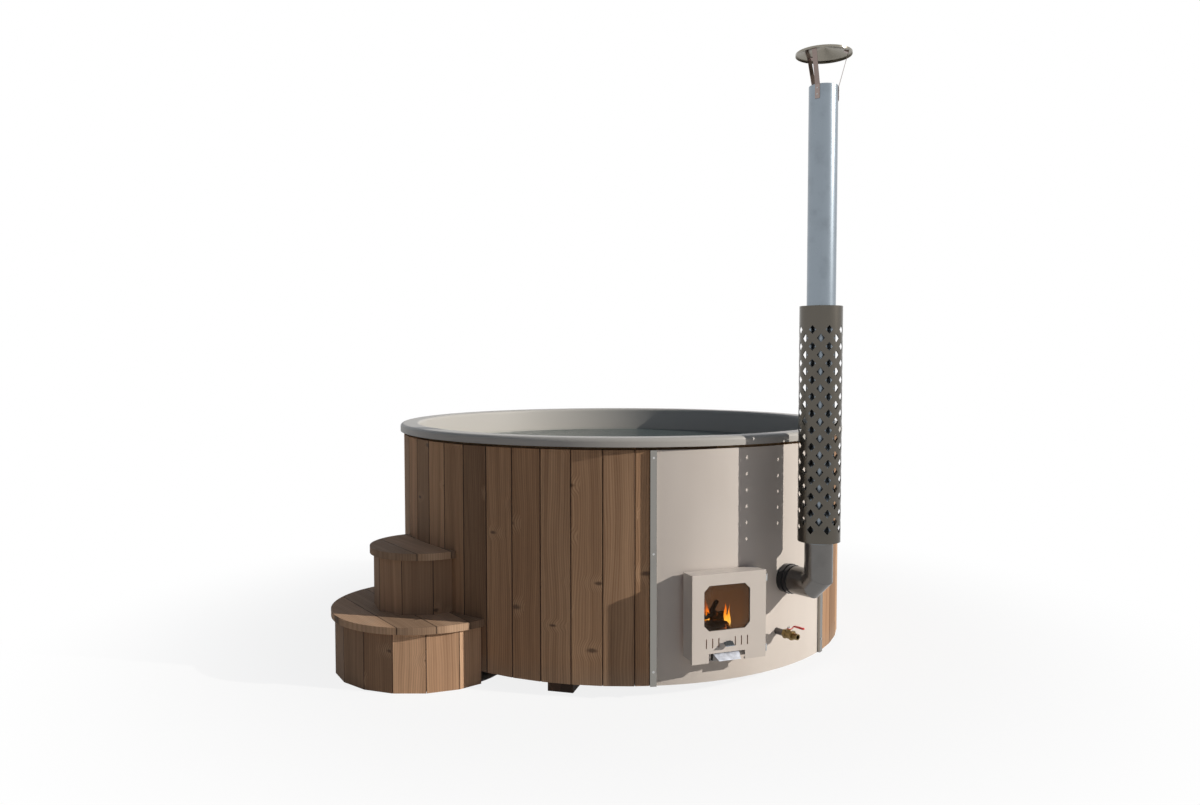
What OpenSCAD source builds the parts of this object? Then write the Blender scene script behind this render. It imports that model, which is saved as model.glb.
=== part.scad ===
// Round wooden hot tub with a built-in wood-fired heater, flue stack and half-round stair.
// Origin: tub axis at ground level. The firebox door faces -Y, up is +Z. Angles are turned
// about the tub axis from -Y towards +X. The liner is a moulded shell, held by its rim on a
// hoop and by bearers under its floor; the boards are nailed to three hoops.

/* [Tub] */
// Outer radius of the moulded rim
rim_r = 1100; // [1000:5:1250]
// Height of the rim top above the ground
rim_top = 1055; // [1040:5:1100]
// Height of the rolled lip
lip_h = 37; // [30:1:42]
// Width of the flat on top of the rim
rim_flat_w = 92; // [85:1:96]
// Wall of the moulded liner
liner_wall = 8; // [6:0.5:9]
// Height of the bench surface
bench_z = 570; // [566:1:620]
// Room between the foot of the bench wall and the boards
bench_room = 81; // [60:1:96]
// Inner radius of the footwell at the bench edge
well_r = 640; // [600:1:642]
// Height of the liner floor
floor_z = 245; // [238:1:280]

/* [Cladding] */
// Lip overhang beyond the boards
lip_overhang = 18; // [14:1:22]
// Thickness of a cladding board
board_t = 26; // [20:1:28]
// Number of whole cladding boards
board_count = 44; // [40:1:48]
// Gap between neighbouring boards at the face
board_gap = 1.6; // [1:0.1:3]
// Shadow gap between the boards and the lip
lip_gap = 13; // [8:1:18]

/* [Base] */
// Height of the skids
skid_h = 53; // [45:1:60]
// Width of a skid
skid_w = 109; // [80:1:120]
// Thickness of the base deck
deck_t = 20; // [15:1:24]
// Width of the hoops behind the boards
hoop_w = 28; // [22:1:30]
// Height of a hoop
hoop_h = 60; // [40:1:70]

/* [Service panel] */
// Thickness of the steel panel
cover_t = 2; // [1.5:0.1:3]
// Width of an edge trim
trim_w = 26; // [20:1:32]
// How far a trim stands proud of the panel
trim_proud = 12; // [8:1:14]

/* [Firebox] */
// Width of the door
door_w = 330; // [324:1:345]
// Height of the door
door_h = 355; // [345:1:358]
// Height of the door's lower edge
door_z = 163; // [160:1:170]
// Depth of the folded door
door_t = 15; // [13:0.5:18]
// Sheet of the door and casing
sheet_t = 3; // [2:0.5:3.5]
// Distance from the tub axis to the door face
door_face = 1175; // [1170:1:1185]
// Width of the window
window_w = 205; // [190:1:210]
// Height of the window
window_h = 182; // [170:1:184]
// Corner chamfer of the window
window_chamfer = 23; // [15:1:28]
// Side offset of the window, slots and ash opening
mouth_x = -10; // [-12:1:0]
// Thickness of the door glass
glass_t = 4; // [3:0.5:5]
// Outer width of the furnace
furnace_w = 400; // [390:2:410]

/* [Flue] */
// Outer diameter of the flue pipe
flue_d = 116; // [110:1:120]
// How far the flue stub stands out from the boards
stub_out = 46; // [42:1:60]
// Height of the flue stub's axis
stub_z = 436; // [428:1:488]
// Height of the flue pipe's top
flue_top = 2458; // [2300:5:2600]
// Outer diameter of the perforated heat guard
guard_d = 173; // [165:1:180]
// Height of the guard's lower edge
guard_z = 621; // [618:1:640]
// Diameter of the rain cap
cap_d = 224; // [210:1:240]

/* [Drain] */
// Height of the drain valve axis
drain_z = 217; // [210:1:225]
// Outer diameter of the drain pipe
drain_d = 27; // [24:0.5:30]

/* [Stair] */
// Gap between the stair and the boards
stair_gap = 0.3; // [0.3:0.1:8]
// Corner radius of the lower riser ring
low_r = 396; // [370:2:420]
// Height of the lower tread
low_z = 278; // [260:1:290]
// Corner radius of the upper riser ring
high_r = 228; // [215:1:240]
// Height of the upper tread
high_z = 545; // [520:1:560]
// Thickness of a tread plank
tread_t = 30; // [24:1:34]
// Overhang of a tread past its riser
tread_nose = 15; // [10:1:20]

/* [Hidden] */
$fn = 96;
// Overrun of a cut and the clearances that fits use
over = 1;
seat_gap = 0.3;
run_gap = 0.05;
sheet_gap = 1;

// Angles about the tub axis, from -Y towards +X
cover_from = -15.47;
cover_to = 34.33;
left_rip_a = 3.19;
right_rip_a = 6.93;
flue_a = 18.9;
drain_a = 15.95;
skid_a = -35.5;
stair_a = -75.25;

// Tub
board_r = rim_r - lip_overhang;
board_in = board_r - board_t;
bench_r = board_in - bench_room;
lip_z = rim_top - lip_h;
board_z = skid_h;
board_top = lip_z - lip_gap;
rim_roll = 16;
rim_edge = 14;
wall_top_r = rim_r - rim_flat_w;
bench_fillet = 40;
bench_round = 25;
floor_fillet = 60;
well_draft = 22;
liner_z = floor_z - liner_wall;

// Base and hoops
deck_z = skid_h;
deck_top = deck_z + deck_t;
deck_r = board_in - seat_gap;
hoop_in = board_in - hoop_w;
hoop_top = rim_top - liner_wall;
middle_hoop_z = 560;
post_t = 12;
post_w = 60;
post_count = 8;
skid_len = 2068;
side_skid_len = 1280;
side_skid_at = 560;
bearer_w = 60;
bearer_at = 300;

// Cladding
cover_a = cover_to - cover_from;
board_a = (360 - cover_a - left_rip_a - right_rip_a) / board_count;
board_h = board_top - board_z;
board_edge = 3;
tongue_d = 6;
tongue_t = 7;
groove_gap = 0.4;
trim_a = trim_w / board_r * 180 / PI;
screw_d = 5;
screw_head = 9;
screw_head_h = 2;

// Furnace
furnace_front = 1010;
furnace_back = 665;
furnace_z = 150;
furnace_top = 552;
jacket_t = 25;
hearth_z = 203;
grate_t = 8;
grate_side = 12;
grate_slot = 8;
grate_bar = 10;
mouth_in_w = 290;
mouth_in_top = 500;
sill_h = 12;
leg_w = 40;
flue_turn_r = 900;
pipe_d = 48;
boss_d = 62;
boss_len = 30;
pipe_spots = [[-9, 330], [9, 480]];
pipe_out = 7;
grille_d = 92;
grille_t = 4;
grille_hole = 8;
neck_front = door_face - door_t - 2 * sheet_gap;
neck_w = mouth_in_w + 2 * sheet_t;
casing_w = 326;
casing_top = door_z + door_h - sheet_t;
casing_z = door_z + 12;
casing_back = 1089;
ash_w = 126;
notch_side = 18;
ash_top = 200;
pan_gap = 5;
pan_w = ash_w - 2 * pan_gap;
pan_h = 30;
pan_z = door_z + 4;
pan_t = 2;
pan_back = 720;
pan_front = door_face - door_t / 2;
pan_lip = 10;
tab_w = pan_w;
tab_out = 32;
tab_drop = 20;
tab_t = 2.5;
rail_t = 3;
rail_w = 12;

// Door
door_x = door_w / 2;
door_back = door_face - door_t;
window_z = 381;
window_frame = 10;
frame_t = 3;
seal_w = 8;
seal_in = 151;
guide_t = 2;
guide_lip = 4;
guide_w = 3.2;
slot_w = 5;
slot_h = 38;
slot_z = 222;
slot_first = 37;
slot_pitch = 27.5;
slide_t = 2;
slide_margin = 10;
slide_travel = 13;
slide_gap = 0.3;
knob_d = 8;
knob_z = slot_z + slot_h / 2;
knob_w = 40;
knob_out = 26;
hinge_x = door_x + 7;
hinge_y = -(door_face - 12);
pin_d = 6;
knuckle_d = 12;
knuckle_h = 20;
knuckle_z = [door_z + 24, door_z + door_h - 24 - knuckle_h];
bracket_t = 4;

// Flue
flue_t = 1.5;
flue_or = flue_d / 2;
stub_d = 122;
elbow_bend = 62;
elbow_top = 614;
spigot_len = 36;
stub_hold = 42;
stub_in = board_r - stub_hold;
elbow_start = board_r + stub_out;
flue_r = elbow_start + 2 * elbow_bend;
bead_d = 128;
bead_w = 6;
guard_t = 1.2;
guard_len = 959;
guard_top = guard_z + guard_len;
guard_rows = 25;
guard_cols = 8;
hole_w = 31;
hole_h = 36;
hole_first = 96;
hole_last = 56;
hole_phase_a = -33.7;
cap_gap = 130;
cap_z = flue_top + cap_gap;
cap_rise = 30;
cap_t = 2;
cap_lip = 6;
strap_w = 20;
strap_t = 2;
strap_grip = 58;
strap_foot = flue_top - strap_grip;
strap_bend = flue_top - strap_t - over;
strap_top_r = 96;
strap_a = [-57, 63, 183];
rivet_d = 6;
rivet_shares = [0.3, 0.75];

// Drain
nipple_len = 46;
body_d = 36;
body_len = 48;
tail_d = 26;
tail_len = 24;
tail_bore = 18;
stem_d = 8;
ball_d = 24;
lever_len = 75;
lever_w = 12;
lever_t = 2.5;
lever_rise = 16;
drain_turn_r = 832;
drain_well_y = 450;
drain_flange_d = 70;
drain_flange_t = 4;
valve_at = board_r + nipple_len + body_len / 2;

// Stair
stair_at = board_r / cos(board_a / 2) + stair_gap;
riser_t = 24;
low_first_a = -95;
low_side_a = 20;
low_sides = 10;
high_first_a = -97;
high_side_a = 34;
high_sides = 6;
plank_pitch = 139.5;
plank_first = -146;
plank_gap = 2;
batten = 40;
low_batten_x = 160;
high_batten_x = 85;

// Points on an arc about (cx, cy)
function arc(cx, cy, r, a0, a1, n) =
    [for (i = [0 : n]) let (a = a0 + (a1 - a0) * i / n) [cx + r * cos(a), cy + r * sin(a)]];

// Turns a piece drawn on the -Y side to an angle about the tub axis
module at(a) { rotate([0, 0, a]) children(); }

// Part of a ring about the tub axis, between two angles
module ring_part(r0, r1, a0, a1, z, h)
    translate([0, 0, z]) rotate([0, 0, a0 - 90])
        rotate_extrude(angle = a1 - a0) translate([r0, 0]) square([r1 - r0, h]);

module ring(r0, r1, z, h)
    translate([0, 0, z]) difference() {
        cylinder(r = r1, h = h);
        translate([0, 0, -over]) cylinder(r = r0, h = h + 2 * over);
    }

// A block between two y values, centred on x
module block(x, w, y0, y1, z0, z1)
    translate([x - w / 2, min(y0, y1), z0]) cube([w, abs(y1 - y0), z1 - z0]);

// Tube along a line of points, with a mitre at each bend
function out_at(a, r, z) = [r * sin(a), -r * cos(a), z];
function unit(v) = v / norm(v);
function leg(p, i) = unit(p[i + 1] - p[i]);
function cut_way(p, i) = i == 0 ? leg(p, 0) : i == len(p) - 1 ? leg(p, i - 1) :
    unit(leg(p, i - 1) + leg(p, i));
module along(p, v) translate(p) rotate([0, acos(v[2]), atan2(v[1], v[0])]) children();
module bent_tube(p, d, t, split = 0) for (i = [0 : len(p) - 2])
    let (h = norm(p[i + 1] - p[i]) + 2 * d) intersection() {
    along(p[i] - d * leg(p, i), leg(p, i)) tube(d, t, h);
    along(p[i], cut_way(p, i)) translate([-h, -h, i == 0 ? 0 : split / 2]) cube(2 * h);
    along(p[i + 1], cut_way(p, i + 1))
        translate([-h, -h, -2 * h - (i == len(p) - 2 ? 0 : split / 2)]) cube(2 * h);
}

module tube(d, t, h) difference() {
    cylinder(d = d, h = h);
    translate([0, 0, -over]) cylinder(d = d - 2 * t, h = h + 2 * over);
}

// Inner radius of the footwell at a height
function well_at(z) = let (top = bench_z - bench_round, low = floor_z + floor_fillet)
    well_r - well_draft * (top - z) / (top - low);

// Moulded liner: lip, rim flat, wall, bench and footwell in one shell, with its pipe holes
module liner() color("slategray") difference() {
    liner_shell();
    for (p = pipe_spots) at(p[0]) translate([0, -furnace_back, p[1]]) rotate([-90, 0, 0])
        cylinder(d = pipe_d + 2 * seat_gap, h = furnace_back - pipe_end(p[1]));
    translate([drain_x, -drain_well_y, liner_z - over])
        cylinder(d = drain_d - 2 * pipe_wall, h = liner_wall + 2 * over);
}

module liner_shell() rotate_extrude($fn = 180) polygon(concat(
    [[rim_r, lip_z]],
    arc(rim_r - rim_roll, rim_top - rim_roll, rim_roll, 0, 90, 6),
    arc(wall_top_r + rim_edge, rim_top - rim_edge, rim_edge, 90, 180, 6),
    arc(bench_r - bench_fillet, bench_z + bench_fillet, bench_fillet, 0, -90, 6),
    arc(well_r + bench_round, bench_z - bench_round, bench_round, 90, 180, 6),
    arc(well_r - well_draft - floor_fillet, floor_z + floor_fillet, floor_fillet, 0, -90, 6),
    [[0, floor_z], [0, liner_z]],
    arc(well_r - well_draft - floor_fillet, floor_z + floor_fillet, floor_fillet + liner_wall, -90, 0, 6),
    arc(well_r + bench_round, bench_z - bench_round, bench_round - liner_wall, 180, 90, 6),
    arc(bench_r - bench_fillet, bench_z + bench_fillet, bench_fillet + liner_wall, -90, 0, 6),
    arc(wall_top_r + rim_edge, rim_top - rim_edge, rim_edge - liner_wall, 180, 90, 6),
    arc(rim_r - rim_roll, rim_top - rim_roll, rim_roll - liner_wall, 90, 0, 6),
    [[rim_r - liner_wall, lip_z]]));

// Outline of one board between two angles, with a tongue and a groove where they are asked for
module board(a, tongue, groove) {
    t = tan(a / 2);
    mid = (board_r + board_in) / 2;
    half = board_gap / 2;
    out_x = board_r * t - half;
    in_x = board_in * t - half;
    function side(r) = r * t - half;
    t0 = mid - tongue_t / 2;
    t1 = mid + tongue_t / 2;
    g = groove_gap / 2;
    // The tongue stands square to the joint, which leans by half the board's angle
    reach = tongue_d * cos(a / 2);
    rise = tongue_d * sin(a / 2);
    translate([0, 0, board_z]) linear_extrude(board_h) polygon(concat(
        [[in_x, -board_in]],
        tongue ? [[side(t0), -t0], [side(t0) + reach, rise - t0],
            [side(t1) + reach, rise - t1], [side(t1), -t1]] : [],
        [[side(board_r - board_edge), -(board_r - board_edge)], [out_x - board_edge, -board_r],
            [board_edge - out_x, -board_r], [-side(board_r - board_edge), -(board_r - board_edge)]],
        groove ? [[-side(t1 + g), -(t1 + g)], [reach - side(t1 + g), -(t1 + g) - rise],
            [reach - side(t0 - g), -(t0 - g) - rise], [-side(t0 - g), -(t0 - g)]] : [],
        [[-in_x, -board_in]]));
}

// Whole boards from number i0 to i1, counted from the left ripped board away from the door
module boards(i0, i1) for (i = [i0 : i1])
    at(cover_from - left_rip_a - board_a * (i + 0.5)) board(board_a, i > 0, i < board_count - 1);

board_third = floor(board_count / 3);
module cladding_left() color("saddlebrown") boards(0, board_third - 1);
module cladding_back() color("saddlebrown") boards(board_third, 2 * board_third - 1);
module cladding_right() color("saddlebrown") boards(2 * board_third, board_count - 1);

module ripped_boards() color("saddlebrown") {
    at(cover_from - left_rip_a / 2) board(left_rip_a, false, false);
    at(cover_to + right_rip_a / 2) board(right_rip_a, false, false);
}

// Curved steel panel with openings for the firebox neck, the flue stub and the drain
module cover_panel() color("antiquewhite") difference() {
    ring_part(board_r - cover_t, board_r, cover_from, cover_to, board_z, board_h);
    block(0, neck_w + 2 * seat_gap, -board_in, -rim_r,
        ash_floor - seat_gap, mouth_in_top + sheet_t + seat_gap);
    at(flue_a) translate([0, -rim_r, stub_z]) rotate([-90, 0, 0])
        cylinder(d = stub_d + 2 * seat_gap, h = rim_r - board_in);
    at(drain_a) translate([0, -rim_r, drain_z]) rotate([-90, 0, 0])
        cylinder(d = drain_d + 2 * seat_gap, h = rim_r - board_in);
}

// Curved packers between the panel and the hoops
module panel_backing() color("peru") for (z = [board_z, board_top - hoop_h])
    ring_part(board_in, board_r - cover_t, cover_from, cover_to, z, hoop_h);

module edge_trims() color("gainsboro") for (a = [cover_from, cover_to - trim_a])
    ring_part(board_r, board_r + trim_proud, a, a + trim_a, board_z, board_h);

// Screws that hold the trims, with low round heads
module trim_screws() color("silver") for (a = [cover_from + trim_a / 2, cover_to - trim_a / 2])
    for (z = [board_z + hoop_h, middle_hoop_z + hoop_h / 2, board_top - hoop_h / 2])
        at(a) translate([0, -(board_r + trim_proud), z]) rotate([90, 0, 0])
            cylinder(d = screw_head, h = screw_head_h);

module skid(len) translate([-skid_w / 2, -len / 2, 0]) cube([skid_w, len, skid_h]);

module skids() color("saddlebrown") at(skid_a) {
    skid(skid_len);
    for (x = [-side_skid_at, side_skid_at]) translate([x, 0, 0]) skid(side_skid_len);
}

module base_deck() color("peru") translate([0, 0, deck_z]) cylinder(r = deck_r, h = deck_t);

// Bearers between the deck and the floor of the liner
module floor_bearers() color("peru") at(skid_a) for (x = [-bearer_at, 0, bearer_at])
    translate([x - bearer_w / 2, -bearer_len(x) / 2, deck_top])
        cube([bearer_w, bearer_len(x), liner_z - deck_top]);

function bearer_len(x) = 2 * sqrt(pow(well_r - well_draft - floor_fillet, 2) - pow(abs(x) + bearer_w / 2, 2));

module lower_hoop() color("peru") ring(hoop_in, board_in, deck_top, hoop_h);
module middle_hoop() color("peru")
    ring_part(hoop_in, board_in, cover_to, 360 + cover_from, middle_hoop_z, hoop_h);
module upper_hoop() color("peru") ring(hoop_in, board_in, hoop_top - hoop_h, hoop_h);

// Uprights inside the hoops, clear of the furnace
module posts() color("peru") for (i = [0 : post_count - 1])
    at(cover_to + (360 - cover_a) * (i + 0.5) / post_count)
        block(0, post_w, -(post_face - post_t), -post_face, deck_top, hoop_top - hoop_h / 2);
post_face = sqrt(pow(hoop_in - seat_gap, 2) - pow(post_w / 2, 2));

// Water-jacketed furnace: fire chamber, ash way below it, flue port and pipe bosses
chamber_back = furnace_back + jacket_t;
chamber_top = furnace_top - jacket_t;
ash_floor = pan_z - seat_gap - rail_t;
turn_x = flue_turn_r * sin(flue_a);
turn_y = flue_turn_r * cos(flue_a);
module furnace_shell() color("dimgray") difference() {
    union() {
        block(0, furnace_w, -furnace_front, -furnace_back, furnace_z, furnace_top);
        for (p = pipe_spots) at(p[0]) translate([0, -(furnace_back + boss_len / 2), p[1]]) rotate([-90, 0, 0])
            cylinder(d = boss_d, h = boss_len);
    }
    block(0, furnace_w - 2 * jacket_t, -(furnace_front + over), -chamber_back, hearth_z, chamber_top);
    block(mouth_x, ash_w, -(furnace_front + over), -chamber_back, ash_floor, hearth_z + over);
    translate([furnace_w / 2 - jacket_t - over, -turn_y, stub_z]) rotate([0, 90, 0])
        cylinder(d = flue_d - 2 * flue_t, h = jacket_t + 2 * over);
    for (p = pipe_spots) at(p[0]) translate([0, -furnace_back, p[1]]) rotate([-90, 0, 0])
        cylinder(d = pipe_d + 2 * seat_gap, h = boss_len);
}

module furnace_feet() color("dimgray") for (x = [-1, 1], y = [furnace_front - leg_w, furnace_back + leg_w])
    block(x * (furnace_w - leg_w) / 2, leg_w, -y - leg_w / 2, -y + leg_w / 2, deck_top, furnace_z);

// Cast grate over the ash way
grate_len = furnace_front - chamber_back - 2 * grate_side;
grate_n = floor((grate_len - 2 * grate_side + grate_bar) / (grate_slot + grate_bar));
module fire_grate() color("darkslategray") difference() {
    block(mouth_x, ash_w + 2 * grate_side, -(furnace_front - grate_side), -(chamber_back + grate_side),
        hearth_z, hearth_z + grate_t);
    for (i = [0 : grate_n - 1]) let (y = -(furnace_front - 2 * grate_side) + i * (grate_slot + grate_bar))
        block(mouth_x, ash_w - 2 * grate_side, y, y + grate_slot, hearth_z - over, hearth_z + grate_t + over);
}

// Runners of the ash pan, with webs up to the neck in front of the furnace
module ash_rails() color("dimgray") for (s = [0, 1]) mirror([s, 0, 0])
    translate([s == 0 ? mouth_x : -mouth_x, 0, 0]) {
        translate([-ash_w / 2, -(neck_front - sheet_t), ash_floor])
            cube([rail_w, neck_front - sheet_t - pan_back, rail_t]);
        translate([-ash_w / 2 - sheet_t, -(neck_front - sheet_t), ash_floor])
            cube([sheet_t, neck_front - sheet_t - furnace_front, ash_top - ash_floor]);
    }

// Rectangular neck that carries the fire opening out through the panel
module mouth_neck() color("dimgray") difference() {
    block(0, neck_w, -neck_front, -furnace_front, ash_top, mouth_in_top + sheet_t);
    block(0, mouth_in_w, -(neck_front + over), -(furnace_front - over), ash_top + sill_h, mouth_in_top);
}

// Folded casing round the neck: two sides, a top and a front flange that the door closes on
module mouth_casing() color("antiquewhite") difference() {
    block(0, casing_w, -neck_front, -casing_back, casing_z, casing_top);
    block(0, casing_w - 2 * sheet_t, -(neck_front - sheet_t), -(casing_back - over),
        casing_z - over, casing_top - sheet_t);
    block(0, neck_w, -(neck_front + over), -(neck_front - sheet_t - over), ash_top, mouth_in_top + sheet_t);
    block(mouth_x, ash_w, -(neck_front + over), -(neck_front - sheet_t - over),
        casing_z - over, ash_top + over);
}

// Pipes between the water jacket and the footwell
function pipe_end(z) = well_at(z) - pipe_out;
module water_pipes() color("silver") for (p = pipe_spots)
    at(p[0]) translate([0, -furnace_back, p[1]]) rotate([-90, 0, 0])
        tube(pipe_d, flue_t, furnace_back - pipe_end(p[1]));

module pipe_grilles() color("gainsboro") for (p = pipe_spots)
    at(p[0]) translate([0, -pipe_end(p[1]), p[1]]) rotate([-90, 0, 0]) difference() {
        cylinder(d = grille_d, h = grille_t);
        for (k = [0 : 5]) rotate([0, 0, 60 * k]) translate([pipe_d / 3, 0, -over])
            cylinder(d = grille_hole, h = grille_t + 2 * over);
    }

// Flue outlet inside the cladding: sideways from the furnace, then out to the panel
outlet_run = [[furnace_w / 2, -turn_y, stub_z], [turn_x, -turn_y, stub_z],
    out_at(flue_a, board_r - cover_t, stub_z)];
module flue_outlet() color("silver") bent_tube(outlet_run, flue_d, flue_t);

// Stub that slips over the outlet and passes through the panel, with a pressed bead
module flue_stub() color("silver") at(flue_a) translate([0, 0, stub_z]) rotate([90, 0, 0]) difference() {
    union() {
        translate([0, 0, stub_in]) cylinder(d = stub_d, h = elbow_start - stub_in);
        translate([0, 0, (board_r + elbow_start - bead_w) / 2]) cylinder(d = bead_d, h = bead_w);
    }
    translate([0, 0, stub_in - over])
        cylinder(d = flue_d + 2 * seat_gap, h = elbow_start - stub_in + 2 * over);
}

// Elbow of three mitred segments with swivel seams, and a spigot that the pipe slips over
stub_grip = 20;
spigot_d = flue_d - 2 * flue_t - 2 * seat_gap;
elbow_bore = spigot_d - 2 * flue_t;
mitre_side = elbow_bend * tan(90 / 4);
elbow_run = [out_at(0, elbow_start - stub_grip, stub_z),
    out_at(0, flue_r - elbow_bend + mitre_side, stub_z), out_at(0, flue_r, stub_z + elbow_bend - mitre_side),
    out_at(0, flue_r, elbow_top)];
module flue_elbow() color("silver") at(flue_a) {
    bent_tube(elbow_run, flue_d, (flue_d - elbow_bore) / 2, seat_gap);
    translate([0, -flue_r, elbow_top]) tube(spigot_d, flue_t, spigot_len);
}

module flue_pipe() color("silver") at(flue_a) translate([0, -flue_r, elbow_top])
    tube(flue_d, flue_t, flue_top - elbow_top);

// Perforated guard: rows of square holes on their corners, every other row turned by half a step
hole_step = (guard_top - guard_z - hole_first - hole_last) / (guard_rows - 1);
module diamond() polygon([[-hole_w / 2, 0], [0, -hole_h / 2], [hole_w / 2, 0], [0, hole_h / 2]]);
module heat_guard() color("gray") at(flue_a) translate([0, -flue_r, 0]) difference() {
    translate([0, 0, guard_z]) tube(guard_d, guard_t, guard_top - guard_z);
    for (i = [0 : guard_rows - 1], k = [0 : guard_cols / 2 - 1])
        translate([0, 0, guard_top - hole_first - i * hole_step])
            rotate([90, 0, hole_phase_a - flue_a + (k + 0.5 - (i % 2) / 2) * 360 / guard_cols])
                linear_extrude(guard_d + 2 * over, center = true) diamond();
}

// Clips that hold the guard off the pipe
clip_w = 20;
clip_reach = sqrt(pow(guard_d / 2 - guard_t, 2) - pow(clip_w / 2, 2)) - run_gap;
module guard_spacers() color("gray") at(flue_a) translate([0, -flue_r, 0])
    for (z = [guard_z + clip_w, guard_top - 2 * clip_w], k = [0 : 2])
        at(120 * k + 60) block(0, clip_w, -clip_reach, -flue_or, z, z + clip_w);

function cap_under(r) = cap_z + cap_rise * (1 - r / (cap_d / 2));
module rain_cap() color("silver") at(flue_a) translate([0, -flue_r, 0]) rotate_extrude() polygon([
    [0, cap_under(0)], [cap_d / 2 - cap_t, cap_under(cap_d / 2 - cap_t)],
    [cap_d / 2 - cap_t, cap_z - cap_lip],
    [cap_d / 2, cap_z - cap_lip], [cap_d / 2, cap_z + cap_t], [0, cap_under(0) + cap_t]]);

// Flat straps riveted to the pipe, flared out to the underside of the cap
strap_tab = 18;
module cap_straps() color("silver") at(flue_a) translate([0, -flue_r, 0]) for (a = strap_a)
    rotate([0, 0, a - flue_a - 90]) translate([0, strap_w / 2, 0]) rotate([90, 0, 0]) linear_extrude(strap_w)
        let (u = strap_top_r, v = strap_top_r - strap_tab, g = seat_gap) polygon([
            [flue_or, strap_foot], [flue_or + strap_t, strap_foot], [flue_or + strap_t, strap_bend],
            [u, cap_under(u) - g - strap_t], [u, cap_under(u) - g], [v, cap_under(v) - g],
            [v, cap_under(v) - g - strap_t], [u - strap_t, cap_under(u) - g - 2 * strap_t],
            [flue_or, strap_bend]]);

module cap_rivets() color("gray") at(flue_a) translate([0, -flue_r, 0]) for (a = strap_a, z = rivet_shares)
    rotate([0, 0, a - flue_a - 90]) translate([flue_or + strap_t, 0, strap_foot + z * (strap_bend - strap_foot)])
        rotate([0, 90, 0]) cylinder(d = rivet_d, h = rivet_h);
rivet_h = 1.5;

// Drain: flanged outlet in the liner floor and a pipe under it to the panel
drain_x = drain_turn_r * sin(drain_a);
drain_y = drain_turn_r * cos(drain_a);
module floor_drain() color("gainsboro") difference() {
    translate([drain_x, -drain_well_y, floor_z]) cylinder(d = drain_flange_d, h = drain_flange_t);
    for (k = [0 : 5]) translate([drain_x, -drain_well_y, floor_z - over]) rotate([0, 0, 60 * k])
        translate([drain_flange_d / 4, 0, 0]) cylinder(d = grille_hole, h = drain_flange_t + 2 * over);
}

drain_run = [[drain_x, -drain_well_y, liner_z], [drain_x, -drain_well_y, drain_z],
    [drain_x, -drain_y, drain_z], out_at(drain_a, board_r + nipple_len, drain_z)];
pipe_wall = 3;
module drain_pipe() color("dimgray") bent_tube(drain_run, drain_d, pipe_wall);

// Places a piece at the valve, drawn with its outlet towards -Y
module at_valve() at(drain_a) translate([0, -valve_at, drain_z]) children();

body_end = 12;
neck_h = 6;
module valve_body() color("goldenrod") at_valve() difference() {
    union() {
        rotate([90, 0, 0]) cylinder(d = body_d - 4 * seat_gap, h = body_len, center = true);
        for (s = [-1, 1]) translate([0, s * (body_len - body_end) / 2, 0]) rotate([90, 0, 0])
            cylinder(d = body_d / cos(30), h = body_end, center = true, $fn = 6);
        cylinder(d = stem_d + 2 * pipe_wall, h = body_d / 2 + neck_h);
    }
    rotate([90, 0, 0]) cylinder(d = tail_bore, h = body_len + 2 * over, center = true);
    sphere(d = ball_d + 2 * run_gap);
    cylinder(d = stem_d + 2 * run_gap, h = body_d);
}

module hose_tail() color("gold") at_valve() translate([0, -body_len / 2, 0]) rotate([90, 0, 0])
    tube(tail_d, (tail_d - tail_bore) / 2, tail_len);

stem_foot = ball_d / 3;
lever_z = body_d / 2 + neck_h + seat_gap;
module valve_stem() color("silver") at_valve() translate([0, 0, stem_foot])
    cylinder(d = stem_d, h = lever_z + lever_t - stem_foot);

module valve_ball() color("silver") at_valve() difference() {
    sphere(d = ball_d);
    rotate([90, 0, 0]) cylinder(d = tail_bore - 2 * pipe_wall, h = ball_d + 2 * over, center = true);
    translate([0, 0, stem_foot]) cylinder(d = stem_d, h = ball_d);
}

// Cranked flat lever: a pad round the stem, a rise and a flat handle with a round end
module valve_lever() color("red") at_valve() difference() {
    translate([0, 0, lever_z]) union() {
        cylinder(d = lever_w + 2 * lever_t, h = lever_t);
        translate([-lever_w / 2, 0, 0]) rotate([90, 0, 90]) linear_extrude(lever_w) polygon([
            [0, 0], [-lever_w, 0], [-lever_w - lever_rise, lever_rise], [-lever_len, lever_rise],
            [-lever_len, lever_rise + lever_t], [-lever_w - lever_rise - lever_t / 2, lever_rise + lever_t],
            [-lever_w - lever_t / 2, lever_t], [0, lever_t]]);
        translate([0, -lever_len, lever_rise]) cylinder(d = lever_w, h = lever_t);
    }
    translate([0, 0, lever_z - over]) cylinder(d = stem_d, h = lever_t + 2 * over);
}

nut_h = 5;
module lever_nut() color("silver") at_valve() translate([0, 0, lever_z + lever_t])
    cylinder(d = stem_d + 2 * pipe_wall, h = nut_h, $fn = 6);

// Door outline of the window, cut at its corners
module window_shape(m) translate([mouth_x, 0])
    let (w = window_w / 2 + m, h = window_h / 2 + m, c = window_chamfer)
    polygon([[-w + c, -h], [w - c, -h], [w, c - h], [w, h - c],
        [w - c, h], [c - w, h], [-w, h - c], [-w, c - h]]);

// A flat outline drawn in x and height, made into a sheet between two y values
module upright_sheet(y0, y1) translate([0, y1, 0]) rotate([90, 0, 0]) linear_extrude(y1 - y0) children();

slot_places = [for (s = [-1, 1], k = [0 : 2]) mouth_x + s * (slot_first + slot_pitch * k)];
module slots() for (x = slot_places) translate([x - slot_w / 2, slot_z]) square([slot_w, slot_h]);

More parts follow.
